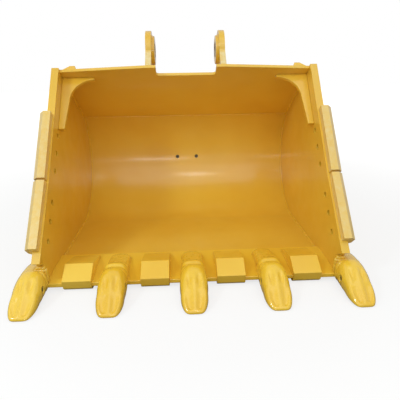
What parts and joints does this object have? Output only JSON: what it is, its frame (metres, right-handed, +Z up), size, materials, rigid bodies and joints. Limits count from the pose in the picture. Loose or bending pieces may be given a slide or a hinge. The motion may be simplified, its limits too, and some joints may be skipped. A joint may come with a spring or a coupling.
{
  "type": "excavator digging bucket",
  "caption": "Heavy-duty excavator bucket with a rolled bowl, pinned ears, side protectors, lip shrouds and pinned teeth.",
  "frame": {"origin": "on the arm pin's axis, midway between the ears", "axes": "+X along the pin to the right seen from the front of the mouth, +Y to the back of the bowl, +Z up with the floor level"},
  "size_m": [1.506, 1.4304, 1.1179],
  "materials": {
    "bowl_paint": "gloss construction-yellow enamel over rolled plate",
    "plate_paint": "gloss construction-yellow enamel over cut plate",
    "cast_paint": "gloss construction-yellow enamel over castings",
    "wear_paint": "gloss construction-yellow enamel",
    "painted_bolt": "painted over with the bucket",
    "bush_steel": "bored and greased",
    "pin_steel": "bright drawn bar"
  },
  "bodies": {
    "bucket": {"wrapper_shell": "bowl_paint", "top_plate": "bowl_paint", "lip_plate": "bowl_paint", "side_plate_left": "plate_paint", "side_plate_right": "plate_paint", "side_bar_left": "plate_paint", "side_bar_right": "plate_paint", "corner_gusset_left": "plate_paint", "corner_gusset_right": "plate_paint", "top_corner_lug_left": "plate_paint", "top_corner_lug_right": "plate_paint", "hinge_ear_left": "plate_paint", "hinge_ear_right": "plate_paint", "arm_pin_boss_left": "plate_paint", "arm_pin_boss_right": "plate_paint", "arm_pin_bush_left": "bush_steel", "arm_pin_bush_right": "bush_steel", "link_pin_boss_left": "plate_paint", "link_pin_boss_right": "plate_paint", "link_pin_bush_left": "bush_steel", "link_pin_bush_right": "bush_steel", "side_protector_upper_left": "cast_paint", "side_protector_upper_right": "cast_paint", "side_protector_lower_left": "cast_paint", "side_protector_lower_right": "cast_paint", "protector_bolts_upper_left": "painted_bolt", "protector_bolts_upper_right": "painted_bolt", "protector_bolts_lower_left": "painted_bolt", "protector_bolts_lower_right": "painted_bolt", "adapter_1": "cast_paint", "adapter_2": "cast_paint", "adapter_3": "cast_paint", "adapter_4": "cast_paint", "adapter_5": "cast_paint", "tooth_1": "cast_paint", "tooth_2": "cast_paint", "tooth_3": "cast_paint", "tooth_4": "cast_paint", "tooth_5": "cast_paint", "wear_strip_1": "wear_paint", "wear_strip_2": "wear_paint", "wear_strip_3": "wear_paint", "wear_strip_4": "wear_paint", "wear_strip_5": "wear_paint", "lip_shroud_1": "cast_paint", "lip_shroud_2": "cast_paint", "lip_shroud_3": "cast_paint", "lip_shroud_4": "cast_paint"},
    "lock_pin_1": {"tooth_pin_1": "pin_steel"},
    "lock_pin_2": {"tooth_pin_2": "pin_steel"},
    "lock_pin_3": {"tooth_pin_3": "pin_steel"},
    "lock_pin_4": {"tooth_pin_4": "pin_steel"},
    "lock_pin_5": {"tooth_pin_5": "pin_steel"}
  },
  "joints": [
    {"name": "tooth_pin_1_slide", "type": "slide", "parent": "bucket", "child": "lock_pin_1", "axis": [-1, 0, 0], "range_m": [0, 0.12]},
    {"name": "tooth_pin_2_slide", "type": "slide", "parent": "bucket", "child": "lock_pin_2", "axis": [-1, 0, 0], "range_m": [0, 0.12]},
    {"name": "tooth_pin_3_slide", "type": "slide", "parent": "bucket", "child": "lock_pin_3", "axis": [1, 0, 0], "range_m": [0, 0.12]},
    {"name": "tooth_pin_4_slide", "type": "slide", "parent": "bucket", "child": "lock_pin_4", "axis": [1, 0, 0], "range_m": [0, 0.12]},
    {"name": "tooth_pin_5_slide", "type": "slide", "parent": "bucket", "child": "lock_pin_5", "axis": [1, 0, 0], "range_m": [0, 0.12]}
  ]
}
